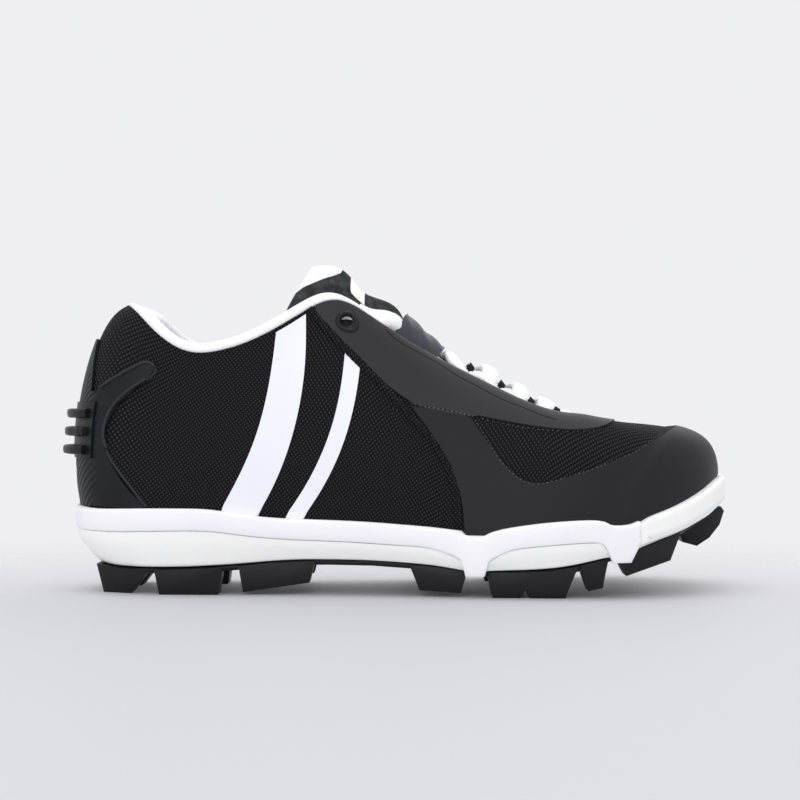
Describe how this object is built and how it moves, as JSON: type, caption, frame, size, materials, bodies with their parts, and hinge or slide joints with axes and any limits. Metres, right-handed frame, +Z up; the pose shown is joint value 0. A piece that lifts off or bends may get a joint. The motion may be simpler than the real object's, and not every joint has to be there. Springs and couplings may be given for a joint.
{
  "type": "baseball cleat",
  "caption": "Low-cut baseball cleat for the right foot, with a hollow mesh upper, padded collar, laced throat, white foam midsole and moulded black studs.",
  "frame": {"origin": "centre of the bounding box on the floor under the studs", "axes": "+X from the heel to the toe, +Y to the medial side, +Z up"},
  "size_m": [0.2807, 0.1003, 0.1378],
  "materials": {
    "mesh_black": "woven, matt",
    "smooth_black": "smooth, satin",
    "moulded_black": "moulded, satin",
    "film_white": "smooth film",
    "foam_white": "moulded foam, matt",
    "rim_white": "moulded foam, satin",
    "stud_black": "moulded, satin",
    "sock_grey": "brushed sock",
    "lining_white": "soft padded cloth",
    "tongue_grey": "mottled knit",
    "keeper_blue_grey": "satin cloth",
    "webbing_black": "woven tape",
    "lace_white": "flat woven lace"
  },
  "bodies": {
    "root": {"upper": "mesh_black", "midsole": "foam_white", "midsole_rim": "rim_white", "outsole": "stud_black", "insole": "sock_grey", "forefoot_rand": "smooth_black", "eyestay": "smooth_black", "heel_counter": "moulded_black", "heel_ribs": "moulded_black", "collar_lining": "lining_white", "tongue": "tongue_grey", "tongue_keeper": "keeper_blue_grey", "lace_crossings": "lace_white", "lace_end_lateral": "lace_white", "lace_end_medial": "lace_white", "top_eyelet_lateral": "moulded_black", "top_eyelet_medial": "moulded_black", "quarter_stripe_wide_lateral": "film_white", "quarter_stripe_narrow_lateral": "film_white", "lace_loop_lateral_1": "webbing_black", "lace_loop_lateral_2": "webbing_black", "lace_loop_lateral_3": "webbing_black", "lace_loop_lateral_4": "webbing_black", "quarter_stripe_wide_medial": "film_white", "quarter_stripe_narrow_medial": "film_white", "lace_loop_medial_1": "webbing_black", "lace_loop_medial_2": "webbing_black", "lace_loop_medial_3": "webbing_black", "lace_loop_medial_4": "webbing_black"}
  },
  "joints": []
}
